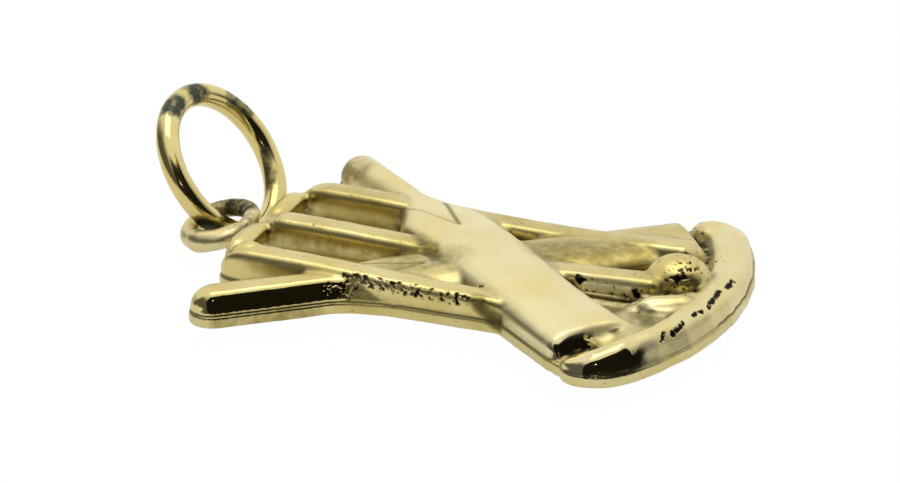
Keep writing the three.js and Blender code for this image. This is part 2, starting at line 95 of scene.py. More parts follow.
# The same by straight runs near the surface: from, to and reach in millimetres, then the mark
PITTED_RUNS = (
    ((-3.85, 4.1, 1.3), (-3.87, -0.7, 1.1), 0.4, 1.1),
    ((-4.5, 4.5, 1.0), (-3.9, 3.6, 0.9), 0.45, 1.0),
    ((-0.6, -3.7, 1.0), (-0.65, -6.1, 0.9), 0.5, 0.75),
    ((-0.57, -3.7, 1.12), (-0.57, -3.9, 1.1), 0.22, 2.0),
    ((-0.62, -5.95, 1.0), (-0.62, -6.05, 0.85), 0.2, 2.0),
    ((0.1, -7.3, 1.3), (0.9, -7.5, 1.5), 0.8, 0.85),
    ((0.0, -7.3, 1.45), (0.2, -7.55, 1.45), 0.3, 1.6),
    ((1.3, -9.0, 1.14), (0.6, -9.03, 1.18), 0.16, 2.3),
    ((0.1, -8.92, 1.22), (-1.4, -9.05, 1.2), 0.16, 2.3),
    ((-1.85, -9.0, 1.21), (-2.4, -8.83, 1.27), 0.14, 2.3),
    ((-3.15, -8.74, 1.24), (-3.9, -8.63, 1.1), 0.17, 2.3),
    ((-4.2, -8.43, 1.22), (-4.5, -8.43, 1.08), 0.14, 2.3),
    ((3.0, -7.6, 0.9), (6.3, -5.5, 0.9), 0.9, 0.5),
)
# Wear and painted light: the middle stump's foot side is lightened where it lies in shade
WORN_AND_LIT_RUNS = (
    ((-0.6, -3.9, 1.0), (-0.65, -5.9, 0.95), 0.45, 2.0),
    ((-5.1, -8.2, 0.9), (-4.7, -8.4, 0.9), 0.6, 1.6),
)
# Grime and painted shade: olive dirt, and painted shade on the stump sides, in the toe's bay, under
# the tongue and where the stumps run under the blades
GRIMY_AND_SHADED_RUNS = (
    ((-6.2, -5.3, 0.8), (-5.2, -6.1, 0.8), 0.45, 0.9),
    ((1.0, 3.8, 1.1), (-0.3, 2.4, 1.3), 0.45, 0.6),
    ((-0.4, 2.4, 1.3), (-1.4, 1.4, 1.25), 0.6, 1.0),
    ((5.8, 8.1, 1.3), (6.4, 8.8, 1.1), 0.9, 0.8),
    ((-3.3, -7.3, 0.8), (-1.7, -5.6, 0.75), 0.5, 1.0),
    ((-2.6, -7.4, 0.8), (-1.6, -7.4, 0.8), 0.45, 0.9),
    ((-3.8, -1.1, 1.2), (-3.95, -1.9, 0.6), 0.45, 0.9),
    ((1.2, -2.0, 1.3), (2.2, -4.8, 1.2), 1.5, 0.75),
    ((-1.9, 2.8, 1.3), (-1.2, 1.2, 1.3), 1.2, 0.6),
    ((-2.4, -7.2, 0.95), (-3.2, -7.4, 0.95), 0.4, 0.8),
    ((4.0, -6.9, 0.7), (5.6, -5.6, 0.9), 0.8, 0.5),
    ((6.0, -5.0, 1.2), (6.4, -5.3, 1.1), 0.4, 1.0),
    ((-0.9, 11.2, 0.6), (-0.2, 10.5, 0.8), 0.5, 0.5),
    ((-0.75, 8.8, 1.0), (-0.75, 4.8, 0.9), 0.45, 0.8),
    ((2.35, 8.8, 1.0), (2.35, 6.4, 0.9), 0.45, 0.9),
    ((-7.2, 7.6, 0.2), (-4.8, 4.9, 0.2), 0.45, 0.7),
)
POLISHED_RUNS = (
    ((-7.4, 8.0, 0.9), (-4.4, 4.4, 0.9), 0.75, 1.0),
    ((-6.3, -5.1, 0.95), (-5.3, -6.0, 0.95), 0.5, 1.0),
    ((-7.0, -6.2, 0.9), (-6.4, -7.4, 0.9), 0.75, 1.0),
    ((-6.4, -7.4, 0.9), (-5.75, -7.85, 0.9), 0.7, 1.0),
)
MELTED_RUNS = (
    ((-5.5, -6.5, 0.9), (-4.0, -7.4, 1.0), 0.7, 1.0),
    ((-4.8, -6.3, 0.9), (-5.3, -6.6, 0.9), 0.8, 1.0),
    ((-2.6, 9.2, 1.2), (2.6, 9.2, 1.2), 0.7, 0.8),
)

# Runs that swell or sink, with a height or depth in millimetres in place of the mark
SWOLLEN_RUNS = (
    ((-0.8, 11.6, 0.45), (-0.3, 10.6, 0.6), 0.6, 0.18),
    ((-0.75, -4.0, 0.7), (-0.75, -5.7, 0.75), 0.45, 0.16),
    ((-1.9, -6.5, 1.2), (-1.2, -7.9, 1.2), 0.45, 0.12),
    ((-2.5, 9.2, 1.2), (-0.7, 9.1, 1.2), 0.6, 0.18),
    ((0.7, 9.1, 1.2), (2.5, 9.2, 1.2), 0.6, 0.18),
    ((-3.0, 8.7, 1.5), (-3.0, 8.4, 1.5), 0.5, 0.12),
)
SUNK_RUNS = (((-4.7, -6.2, 1.1), (-5.3, -6.4, 1.05), 0.9, 0.3),)

# Runs rubbed clean of lines, dirt and painted shade, runs of dark lines and painted shade, and runs
# of solder and of a painted shadow on the ring
CLEAN_RUNS = (
    ((-7.2, -5.6, 0.5), (-5.0, -8.6, 0.5), 1.2, 0.8),
    ((-5.0, -8.6, 0.5), (-2.0, -9.4, 0.5), 0.9, 0.6),
    ((-5.3, -6.0, 0.8), (-4.8, -6.4, 1.0), 0.7, 0.9),
)
# Dark runs: the splice line, and painted shade in the eye's pocket, under the tongue and where the
# stumps meet the blades
DARK_RUNS = (
    ((1.6, 1.95, 1.66), (3.5, 3.35, 1.6), 0.13, 0.6),
    ((-2.3, -6.9, 0.97), (-3.0, -7.4, 1.0), 0.45, 0.6),
    ((-0.5, 2.3, 1.3), (-1.1, 1.7, 1.3), 0.35, 0.6),
    ((1.0, 3.9, 1.1), (-0.2, 2.6, 1.4), 0.3, 0.5),
    ((-3.9, -1.2, 1.0), (-4.0, -2.0, 0.4), 0.35, 0.6),
    ((-3.2, -6.1, 1.0), (-1.6, -5.6, 0.9), 0.35, 0.5),
    ((-0.4, 11.5, 0.6), (0.0, 11.0, 0.65), 0.5, 1.0),
)
FILMED_RUNS = (
    ((3.2, 13.6, 4.8), (3.4, 13.6, 4.75), 0.85, 1.05),
    ((1.6, 13.8, 4.7), (1.8, 13.8, 4.75), 0.85, 1.05),
    ((4.9, 13.0, 4.1), (5.4, 12.5, 3.4), 0.55, 0.85),
    ((5.2, 11.7, 1.8), (4.5, 11.2, 0.8), 0.45, 0.8),
    ((1.2, 11.7, 1.1), (1.0, 10.5, 1.25), 0.8, 0.9),
    ((-0.6, 10.1, 0.9), (0.3, 9.9, 1.2), 0.6, 0.6),
    ((-0.3, 11.7, 0.8), (0.3, 11.5, 0.5), 0.5, 1.0),
)
# Painted shadow on the ring where it sits in the eye's pocket
SHADOW_POCKET_RUNS = (((-0.3, 11.8, 0.75), (0.1, 11.4, 0.5), 0.5, 1.0),)

# Pieces that meet in a visible line, how deep it is in millimetres, and the deepest one
LINE_DEPTH = 0.05
JOINT_LINES = (
    ("front_bat_handle", "front_bat_blade", 0.02),
    ("rear_bat_handle", "rear_bat_blade", 0.035),
    ("rear_bat_handle", "back_plate", 0.05),
    ("rear_bat_blade", "back_plate", 0.04),
    ("front_bat_blade", "back_plate", 0.03),
    ("front_bat_handle", "back_plate", 0.04),
    ("left_stump", "back_plate", 0.04),
    ("ground_rim", "back_plate", 0.05),
)

# Working of the skin, with lengths in millimetres
MERGE_DIGITS = 4  # points that agree to these decimals are one
NODE_MARGIN = 0.3  # farthest that the skin lies from its solid
FLOW_STEP = 0.6  # share of a hollow that one round of solder fills
FLOW_LIMIT = 0.0006  # hollow that solder leaves open
FLOW_REFRESH = 5  # rounds of solder between two sets of normals
SETTLE_ROUNDS = 2  # smoothing after the solder
LINE_ROUNDS = 2  # smoothing of the joint lines
PIECE_ROUNDS = 6  # smoothing of marks where two pieces meet
RUN_ROUNDS = 1  # smoothing of marks at the edge of a run
RUN_SLOPE = 1.6  # how steeply a mark rises inside a run's reach
RECESS_ROUNDS = 3  # smoothing of the recesses
RECESS_LEVELS = ((40, 0.05), (160, 0.12))  # rounds to a smooth level, depth of a full recess
NOISE_MIDDLE = 0.5
PIT_RAISE = 0.15  # how far a full mark lifts the noise that opens pits
PIT_ONSET = 1.5  # how soon a rising mark lets pits be fully deep

# Gold, with scales of noise per metre
TARNISH_AND_SHADE_SCALE = 2600.0
TONE_SCALE = 520.0
CLOUD_SCALE = 3200.0
LEAST_RECESS_DARKENING = 0.35  # darkening of a recess, as tarnish and painted shade, where its noise is lowest
GRIME_AND_SHADE_START = 0.3  # clouds above this value deepen the grime and painted shade
GRIME_AND_SHADE_GAIN = 2.0  # how much they deepen it
FILM_SPREAD = 1.2  # how far clouds break up the solder film
FILM_EDGE = 0.6  # softness of the film's edge
FILM_ROUGHNESS = 0.3  # added by film, and by tarnish with painted shade
WORN_AND_LIT_ROUGHNESS = 0.1  # added by wear with painted light
POLISHED_ROUGHNESS = 0.06
GRAIN_HEIGHT = 2e-5  # in metres

# Studio, in shares and millimetres
PAPER = (0.82, 0.82, 0.82, 1)
PAPER_GLOW = 0.99  # how white the camera sees the paper, shadow or not
PAPER_MIRRORED = 0.6  # the same in the gold's reflections
VELVET = (0.012, 0.012, 0.01, 1)
WHITE = (1, 1, 1, 1)
FLOOR_HALF = 600
CARD_STEPS = 24
SENSOR = 36
NEAREST = 5  # where the camera's view starts


def linear(red, green, blue):
    """A colour given in 8-bit display values, as scene-linear values."""
    shares = (channel / 255 for channel in (red, green, blue))
    return tuple(s / 12.92 if s <= 0.04045 else ((s + 0.055) / 1.055) ** 2.4 for s in shares)


def colour_property(name, description, display):
    """A colour that a user may change."""
    return FloatVectorProperty(
        name=name, description=description, subtype="COLOR", min=0, max=1, default=linear(*display)
    )


class CHARM_PG_casting(bpy.types.PropertyGroup):
    """Sizes of the cast skin, in millimetres."""

    voxel: FloatProperty(
        name="Voxel", description="Spacing of the skin's points", default=0.05, min=0.03
    )
    grow: FloatProperty(name="Grow", description="Growth that closes the solder gaps", default=0.03)
    soften: IntProperty(name="Soften", description="Rounds that round the edges off", default=6)
    solder: IntProperty(name="Solder", description="Rounds that fill the inner corners", default=26)
    melt: IntProperty(name="Melt", description="Rounds that round melted places off", default=60)
    wave_height: FloatProperty(
        name="Wave Height", description="Height of hand finishing marks", default=0.06
    )
    wave_size: FloatProperty(
        name="Wave Size", description="Length of hand finishing marks", default=1.2
    )
    pit_size: FloatProperty(name="Pit Size", description="Width of the casting pits", default=0.15)
    pit_depth: FloatProperty(
        name="Pit Depth", description="Depth of the casting pits", default=0.035
    )
    wall: FloatProperty(name="Wall", description="Thickness of each piece's skin", default=0.1)
    most_triangles: IntProperty(
        name="Triangles", description="Most triangles that one piece has", default=190000
    )
    seed: FloatProperty(name="Seed", description="Seed of the waves and pits", default=3.7)


class CHARM_PG_wire(bpy.types.PropertyGroup):
    """Sizes of the ring, in millimetres."""

    wave_height: FloatProperty(name="Wave Height", description="Depth of the dents", default=0.025)
    wave_size: FloatProperty(name="Wave Size", description="Length of the dents", default=1.1)
    steps: IntProperty(name="Steps", description="Steps round the ring", default=220)
    sides: IntProperty(name="Sides", description="Sides of the wire", default=40)


class CHARM_PG_gold(bpy.types.PropertyGroup):
    """Colours of the gold."""

    polished: colour_property("Polished", "Rubbed gold", (225, 210, 148))
    deep: colour_property("Deep", "Gold with a warmer tone", (208, 189, 114))
    # Pale satin, also painted light on lit tops and on a shaded side
    satin_and_sheen: colour_property("Satin and Sheen", "Gold worn to a satin face", (234, 221, 174))
    plate: colour_property("Plate", "Dull gold of the plate", (214, 202, 150))
    # Olive grime, also painted shade on shaded sides and in creases
    grime: colour_property("Grime and Shade", "Olive tone of old gold", (150, 134, 72))
    # Tarnish, also the painted shade that the recess mark puts in hollows, corners and creases
    tarnish_and_shade: colour_property("Tarnish", "Dark film in the recesses", (58, 48, 18))
    # Pit dirt, also the painted shadow on the ring in the eye's pocket
    pit: colour_property("Pit", "Dirt at the bottom of the pits", (24, 21, 10))
    solder: colour_property("Solder", "Grey solder on the ring", (72, 74, 60))


class CHARM_PG_studio(bpy.types.PropertyGroup):
    """Camera and light, with places in millimetres."""

    camera_place: FloatVectorProperty(
        name="Camera Place", description="Where the camera stands", default=(-124.52, -53.94, 57.8)
    )
    camera_aim: FloatVectorProperty(
        name="Camera Aim", description="What the camera looks at", default=(-0.157, 1.546, 1.65)
    )
    camera_roll: FloatProperty(
        name="Roll", description="Turn about the line of sight, in degrees", default=-0.945
    )
    lens: FloatProperty(name="Lens", description="Focal length on a 36 mm sensor", default=159.87)
    sky: FloatProperty(name="Sky", description="Brightness of the tent overhead", default=1.0)
    room: FloatProperty(
        name="Room", description="Brightness of the room on the camera's side", default=0.12
    )
    flag: FloatProperty(
        name="Flag", description="How far the tent's left side is covered", default=0.6
    )


# Meshes as arrays, in millimetres


def unit(vectors):
    """Vectors of length one."""
    return vectors / np.maximum(np.linalg.norm(vectors, axis=1, keepdims=True), 1e-12)


def node_surface(name):
    """Points and triangles of a CAD node, with its doubles merged."""
    mesh = frame["nodes"][name].data
    mesh.calc_loop_triangles()
    places = np.empty(len(mesh.vertices) * 3)
    mesh.vertices.foreach_get("co", places)
    corners = np.empty(len(mesh.loop_triangles) * 3, dtype=np.int32)
    mesh.loop_triangles.foreach_get("vertices", corners)
    places = np.round(places.reshape(-1, 3) / MM, MERGE_DIGITS)
    places, merged = np.unique(places, axis=0, return_inverse=True)
    return places, merged.reshape(-1)[corners].reshape(-1, 3)


def point_normals(places, faces):
    """Normals at the points of triangles or quads."""
    across = places[faces[:, 2]] - places[faces[:, 0]]
    along = places[faces[:, 1]] - places[faces[:, -1 if faces.shape[1] == 4 else 0]]
    facing = np.cross(along, across)
    normals = np.zeros_like(places)
    for corner in faces.T:
        for axis in range(3):
            normals[:, axis] += np.bincount(corner, weights=facing[:, axis], minlength=len(places))
    return unit(normals)


def face_sides(faces):
    """The sides of the faces, as pairs of points in the order of their turn."""
    count = faces.shape[1]
    return np.concatenate([faces[:, [i, (i + 1) % count]] for i in range(count)])


def face_edges(faces):
    """Every edge of the faces once, as pairs of points."""
    return np.unique(np.sort(face_sides(faces), axis=1), axis=0)


def neighbour_mean(values, edges):
    """The mean of each point's neighbours."""
    here, there = np.concatenate([edges, edges[:, ::-1]]).T
    size = len(values)
    counts = np.maximum(np.bincount(here, minlength=size), 1)
    columns = values.reshape(size, -1).T
    sums = [np.bincount(here, weights=column[there], minlength=size) for column in columns]
    return (np.stack(sums, axis=1) / counts[:, None]).reshape(values.shape)


def smoothed(values, edges, rounds):
    """Values moved halfway to their neighbours' mean, several times."""
    for _ in range(rounds):
        values = 0.5 * values + 0.5 * neighbour_mean(values, edges)
    return values


def new_mesh(name, places, faces):
    """A mesh with smooth faces."""
    mesh = bpy.data.meshes.new(name)
    mesh.from_pydata(places.tolist(), [], faces.tolist())
    mesh.shade_smooth()
    return mesh


def linked(name, data):
    """A new object in the scene."""
    thing = bpy.data.objects.new(name, data)
    bpy.context.scene.collection.objects.link(thing)
    return thing


def as_plain_mesh(thing):
    """The mesh that an object's modifiers give, with the object taken away."""
    bpy.context.view_layer.update()
    evaluated = thing.evaluated_get(bpy.context.evaluated_depsgraph_get())
    mesh = bpy.data.meshes.new_from_object(evaluated)
    source = thing.data
    bpy.data.objects.remove(thing)
    bpy.data.meshes.remove(source)
    return mesh


def mesh_arrays(mesh):
    """Points and quads of a mesh."""
    places = np.empty(len(mesh.vertices) * 3)
    mesh.vertices.foreach_get("co", places)
    corners = np.empty(len(mesh.loops), dtype=np.int32)
    mesh.loops.foreach_get("vertex_index", corners)
    return places.reshape(-1, 3), corners.reshape(-1, 4)


def read_mark(mesh, name):
    """A float attribute of the points."""
    values = np.empty(len(mesh.vertices))
    mesh.attributes[name].data.foreach_get("value", values)
    return values


def write_mark(mesh, name, values):
    """Stores a float attribute on the points."""
    attribute = mesh.attributes.new(name, "FLOAT", "POINT")
    attribute.data.foreach_set("value", np.asarray(values, dtype=np.float32))


# The cast skin


def voxel_skin(casting):
    """Points and quads of one skin round all the soldered pieces."""
    places, triangles, first = [], [], 0
    for name in CAST_NODES:
        node_places, node_triangles = node_surface(name)
        normals = point_normals(node_places, node_triangles)
        places.append(node_places + casting.grow * normals)
        triangles.append(node_triangles + first)
        first += len(node_places)
    mesh = new_mesh(SKIN_NAME, np.concatenate(places), np.concatenate(triangles))
    thing = linked(SKIN_NAME, mesh)
    remesh = thing.modifiers.new("Voxels", "REMESH")
    remesh.mode = "VOXEL"
    remesh.voxel_size = casting.voxel
    skin = as_plain_mesh(thing)
    arrays = mesh_arrays(skin)
    bpy.data.meshes.remove(skin)
    return arrays


def nearest_nodes(places):
    """For each place, which cast node is nearest."""
    best = np.full(len(places), np.inf)
    labels = np.zeros(len(places), dtype=np.int32)
    for label, name in enumerate(CAST_NODES):
        node_places, node_triangles = node_surface(name)
        tree = BVHTree.FromPolygons(node_places.tolist(), node_triangles.tolist())
        low = node_places.min(axis=0) - NODE_MARGIN
        high = node_places.max(axis=0) + NODE_MARGIN
        for i in np.flatnonzero(((places > low) & (places < high)).all(axis=1)):
            distance = tree.find_nearest(places[i])[3]
            if distance < best[i]:
                best[i] = distance
                labels[i] = label
    return labels


def fill_corners(places, faces, edges, rounds):
    """Lets solder flow into the inner corners, and leaves the outer ones."""
    for turn in range(rounds):
        if turn % FLOW_REFRESH == 0:
            normals = point_normals(places, faces)
        hollow = ((neighbour_mean(places, edges) - places) * normals).sum(axis=1)
        flow = FLOW_STEP * np.maximum(hollow - FLOW_LIMIT, 0)
        places = places + normals * flow[:, None]
    return places


def joint_lines(labels, edges, count):
    """Depth of the lines where two pieces meet, in millimetres."""
    depth = np.zeros(count)
    ends = np.sort(labels[edges], axis=1)
    for first, second, deep in JOINT_LINES:
        pair = sorted((CAST_NODES.index(first), CAST_NODES.index(second)))
        touching = edges[(ends == pair).all(axis=1)].ravel()
        depth[touching] = np.maximum(depth[touching], deep)
    return smoothed(depth, edges, LINE_ROUNDS)


def run_distance(places, start, end):
    """Distance of each place from a straight run."""
    start, end = np.array(start), np.array(end)
    span = end - start
    share = np.clip((places - start) @ span / (span @ span), 0, 1)
    return np.linalg.norm(places - start - share[:, None] * span, axis=1)


def run_zone(places, runs):
    """The strongest mark at each place of the runs near it."""
    share = np.zeros(len(places))
    for start, end, reach, strength in runs:
        near = np.clip(RUN_SLOPE * (1 - run_distance(places, start, end) / reach), 0, 1)
        share = np.maximum(share, strength * near)
    return share


def zone(places, labels, edges, pieces, runs):
    """The mark at each place, by its piece and by the runs near it."""
    by_piece = np.array([pieces.get(name, 0.0) for name in CAST_NODES])[labels]
    share = smoothed(by_piece, edges, PIECE_ROUNDS)
    return smoothed(np.maximum(share, run_zone(places, runs)), edges, RUN_ROUNDS)


# The recess mark paints shade: hollows, corners and creases darken with it, along with their
# tarnish
def recesses(places, normals, edges):
    """How far each place lies below its smoothed surroundings, from 0 to 1."""
    level, hollow = places, np.full(len(places), -np.inf)
    for rounds, full_depth in RECESS_LEVELS:
        level = smoothed(level, edges, rounds)
        hollow = np.maximum(hollow, ((level - places) * normals).sum(axis=1) / full_depth)
    return np.clip(smoothed(hollow, edges, RECESS_ROUNDS), 0, 1)


# Node trees


def finish_tree():
    """Geometry nodes for hand finishing waves and casting pits on a skin."""
    tree = bpy.data.node_groups.new("Hand Finish", "GeometryNodeTree")
    socket = tree.interface.new_socket
    socket("Geometry", in_out="INPUT", socket_type="NodeSocketGeometry")
    for name in ("Wave Height", "Wave Size", "Pit Size", "Pit Depth", "Seed"):
        socket(name, in_out="INPUT", socket_type="NodeSocketFloat")
    socket("Gold", in_out="INPUT", socket_type="NodeSocketMaterial")
    socket("Geometry", in_out="OUTPUT", socket_type="NodeSocketGeometry")
    build = Builder(tree)
    given = build("NodeGroupInput")
    normal = build("GeometryNodeInputNormal")

    wave_scale = build.math("DIVIDE", 1.0, given["Wave Size"])
    inputs = {"W": given["Seed"], "Scale": wave_scale, "Detail": 1.5, "Roughness": 0.4}
    slow = build("ShaderNodeTexNoise", inputs, noise_dimensions="4D")
    swing = build.math("SUBTRACT", slow["Fac"], NOISE_MIDDLE)
    wave = build.math("MULTIPLY", swing, given["Wave Height"])

    pit_scale = build.math("DIVIDE", 1.0, given["Pit Size"])
    inputs = {"W": given["Seed"], "Scale": pit_scale, "Detail": 2.0, "Roughness": 0.55}
    fine = build("ShaderNodeTexNoise", inputs, noise_dimensions="4D")
    stored = build("GeometryNodeInputNamedAttribute", {"Name": "pitting"}, data_type="FLOAT")
    pitting = stored["Attribute"]
    raised = build.math("ADD", fine["Fac"], build.math("MULTIPLY", pitting, PIT_RAISE))
    inputs = {"Value": raised, "From Min": 0.67, "From Max": 0.77}
    bowl = build("ShaderNodeMapRange", inputs, interpolation_type="SMOOTHSTEP")["Result"]
    allowed = build.math("MINIMUM", build.math("MULTIPLY", pitting, PIT_ONSET), 1.0)
    pit = build.math("MULTIPLY", bowl, allowed)
    marked = build(
        "GeometryNodeStoreNamedAttribute",
        {"Geometry": given["Geometry"], "Name": "pit", "Value": pit},
        data_type="FLOAT",
        domain="POINT",
    )
    height = build.math("SUBTRACT", wave, build.math("MULTIPLY", pit, given["Pit Depth"]))
    worked = build(
        "GeometryNodeSetPosition",
        {"Geometry": marked["Geometry"], "Offset": build.scaled(normal["Normal"], height)},
    )
    build.close(worked["Geometry"], given["Gold"])
    return tree


def ring_tree():
    """Geometry nodes for a ring of round wire with small dents."""
    tree = bpy.data.node_groups.new("Wire Ring", "GeometryNodeTree")
    socket = tree.interface.new_socket
    for name in ("Radius", "Wire Radius", "Wave Height", "Wave Size"):
        socket(name, in_out="INPUT", socket_type="NodeSocketFloat")
    for name in ("Steps", "Sides"):
        socket(name, in_out="INPUT", socket_type="NodeSocketInt")
    socket("Gold", in_out="INPUT", socket_type="NodeSocketMaterial")
    socket("Geometry", in_out="OUTPUT", socket_type="NodeSocketGeometry")
    build = Builder(tree)
    given = build("NodeGroupInput")
    circle = "GeometryNodeCurvePrimitiveCircle"
    path = build(circle, {"Resolution": given["Steps"], "Radius": given["Radius"]})
    section = build(circle, {"Resolution": given["Sides"], "Radius": given["Wire Radius"]})
    inputs = {"Curve": path["Curve"], "Profile Curve": section["Curve"]}
    wire = build("GeometryNodeCurveToMesh", inputs)
    normal = build("GeometryNodeInputNormal")
    frequency = build.math("DIVIDE", 1.0, given["Wave Size"])
    noise = build("ShaderNodeTexNoise", {"Scale": frequency, "Detail": 1.5, "Roughness": 0.45})
    swing = build.math("SUBTRACT", noise["Fac"], NOISE_MIDDLE)
    wave = build.math("MULTIPLY", swing, given["Wave Height"])
    dented = build(
        "GeometryNodeSetPosition",
        {"Geometry": wire["Mesh"], "Offset": build.scaled(normal["Normal"], wave)},
    )
    build.close(dented["Geometry"], given["Gold"])
    return tree


class Builder:
    """Adds nodes to a tree, with their inputs given by name."""

    def __init__(self, tree):
        self.tree = tree

    def __call__(self, kind, inputs=None, **settings):
        node = self.tree.nodes.new(kind)
        for name, value in settings.items():
            setattr(node, name, value)
        for key, value in (inputs or {}).items():
            self.feed(self.enabled(node.inputs, key), value)
        return Outputs(node)

    def enabled(self, sockets, key):
        """The socket of that number, or the enabled one of that name."""
        if isinstance(key, int):
            return sockets[key]
        return next(s for s in sockets if s.name == key and s.enabled)

    def feed(self, socket, value):
        """Links an output to a socket, or sets the socket's own value."""
        if isinstance(value, bpy.types.NodeSocket):
            self.tree.links.new(value, socket)
        else:
            socket.default_value = value

    def math(self, operation, first, second):
        return self("ShaderNodeMath", {0: first, 1: second}, operation=operation)["Value"]

    def scaled(self, vector, factor):
        inputs = {0: vector, "Scale": factor}
        return self("ShaderNodeVectorMath", inputs, operation="SCALE")["Vector"]

    def along(self, vector, direction):
        """How far a vector reaches along a direction."""
        inputs = {0: vector, 1: direction}
        return self("ShaderNodeVectorMath", inputs, operation="DOT_PRODUCT")["Value"]

    def ranged(self, value, **ends):
        """A value moved from one range to another, 0 to 1 where an end is not given."""
        inputs = {name.replace("_", " ").title(): end for name, end in ends.items()}
        return self("ShaderNodeMapRange", {"Value": value, **inputs})["Result"]

    def mixed(self, factor, first, second):
        """A mix of two colours."""
        inputs = {"Factor": factor, "A": first, "B": second}
        return self("ShaderNodeMix", inputs, data_type="RGBA")["Result"]

    def close(self, geometry, material):
        """Ends a geometry tree with real meshes and a material."""
        real = self("GeometryNodeRealizeInstances", {"Geometry": geometry})
        inputs = {"Geometry": real["Geometry"], "Material": material}
        dressed = self("GeometryNodeSetMaterial", inputs)
        self("NodeGroupOutput", {"Geometry": dressed["Geometry"]})


class Outputs:
    """The enabled outputs of a node, by name."""

    def __init__(self, node):
        self.node = node

    def __getitem__(self, name):
        return next(s for s in self.node.outputs if s.name == name and s.enabled)


def nodes_modifier(thing, tree, values):
    """A geometry nodes modifier with its inputs set by their names."""
    modifier = thing.modifiers.new(tree.name, "NODES")
    modifier.node_group = tree
    for item in tree.interface.items_tree:
        if item.in_out == "INPUT" and item.name in values:
            modifier[item.identifier] = values[item.name]


# Gold


def tarnish_and_shade_group():
    """Where the colour darkens: painted shade with tarnished film in the recesses, dark joint
    lines, pits and the ring's painted pocket shadow, broken up by noise.
    """
    tree = bpy.data.node_groups.new("Tarnish", "ShaderNodeTree")
    socket = tree.interface.new_socket
    socket("Place", in_out="INPUT", socket_type="NodeSocketVector")
    for name in ("Recess", "Line", "Pit", "Patch Scale"):
        socket(name, in_out="INPUT", socket_type="NodeSocketFloat")
    socket("Mask", in_out="OUTPUT", socket_type="NodeSocketFloat")
    build = Builder(tree)
    given = build("NodeGroupInput")
    noise = build(
        "ShaderNodeTexNoise",
        {"Vector": given["Place"], "Scale": given["Patch Scale"], "Detail": 5.0, "Roughness": 0.6},
    )
    broken = build.ranged(noise["Fac"], from_min=0.32, from_max=0.68)
    # Painted shade, with tarnish, in the recesses
    recess = build.math("MULTIPLY", given["Recess"], build.math("ADD", broken, LEAST_RECESS_DARKENING))
    worst = build.math("MAXIMUM", build.math("MAXIMUM", recess, given["Line"]), given["Pit"])
    mask = build("ShaderNodeClamp", {"Value": worst})
    build("NodeGroupOutput", {"Mask": mask["Result"]})
    return tree


def grain_group():
    """Slow changes of tone and the fine grain of cast metal."""
    tree = bpy.data.node_groups.new("Cast Grain", "ShaderNodeTree")
    socket = tree.interface.new_socket
    socket("Place", in_out="INPUT", socket_type="NodeSocketVector")
    for name in ("Tone Scale", "Grain Scale"):
        socket(name, in_out="INPUT", socket_type="NodeSocketFloat")
    for name in ("Tone", "Speckle", "Height"):
        socket(name, in_out="OUTPUT", socket_type="NodeSocketFloat")
    build = Builder(tree)
    given = build("NodeGroupInput")
    slow = build(
        "ShaderNodeTexNoise",
        {"Vector": given["Place"], "Scale": given["Tone Scale"], "Detail": 3.0},
    )
    tone = build.ranged(slow["Fac"], from_min=0.3, from_max=0.7)
    fine = build(
        "ShaderNodeTexNoise",
        {"Vector": given["Place"], "Scale": given["Grain Scale"], "Detail": 4.0, "Roughness": 0.65},
    )
    speckle = build.ranged(fine["Fac"], from_min=0.62, from_max=0.78)
    build("NodeGroupOutput", {"Tone": tone, "Speckle": speckle, "Height": fine["Fac"]})
    return tree


def group_of(name, make):
    """A node group, made on its first use."""
    return bpy.data.node_groups.get(name) or make()


class Finish:
    """The numbers that set one gold finish apart from another."""

    def __init__(self, light, shine, dull, grain_scale, grain_depth, speckle):
        self.light = light
        self.shine = shine
        self.dull = dull
        self.grain_scale = grain_scale
        self.grain_depth = grain_depth
        self.speckle = speckle


def gold_finishes(gold):
    """The finishes of the record's material slots."""
    return {
        "cast_gold": Finish(
            light=gold.polished, shine=0.22, dull=0.36,
            grain_scale=8000.0, grain_depth=0.25, speckle=0.4,
        ),
        "satin_gold": Finish(
            light=gold.polished, shine=0.24, dull=0.38,
            grain_scale=10000.0, grain_depth=0.22, speckle=0.45,
        ),
        "plate_gold": Finish(
            light=gold.plate, shine=0.24, dull=0.45,
            grain_scale=6000.0, grain_depth=0.3, speckle=0.45,
        ),
        "wire_gold": Finish(
            light=gold.polished, shine=0.08, dull=0.18,
            grain_scale=7000.0, grain_depth=0.06, speckle=0.15,
        ),
    }


def shader_base(name):
    """A material with an empty tree, and its builder."""
    material = bpy.data.materials.new(name)
    material.use_nodes = True
    material.node_tree.nodes.clear()
    return material, Builder(material.node_tree)


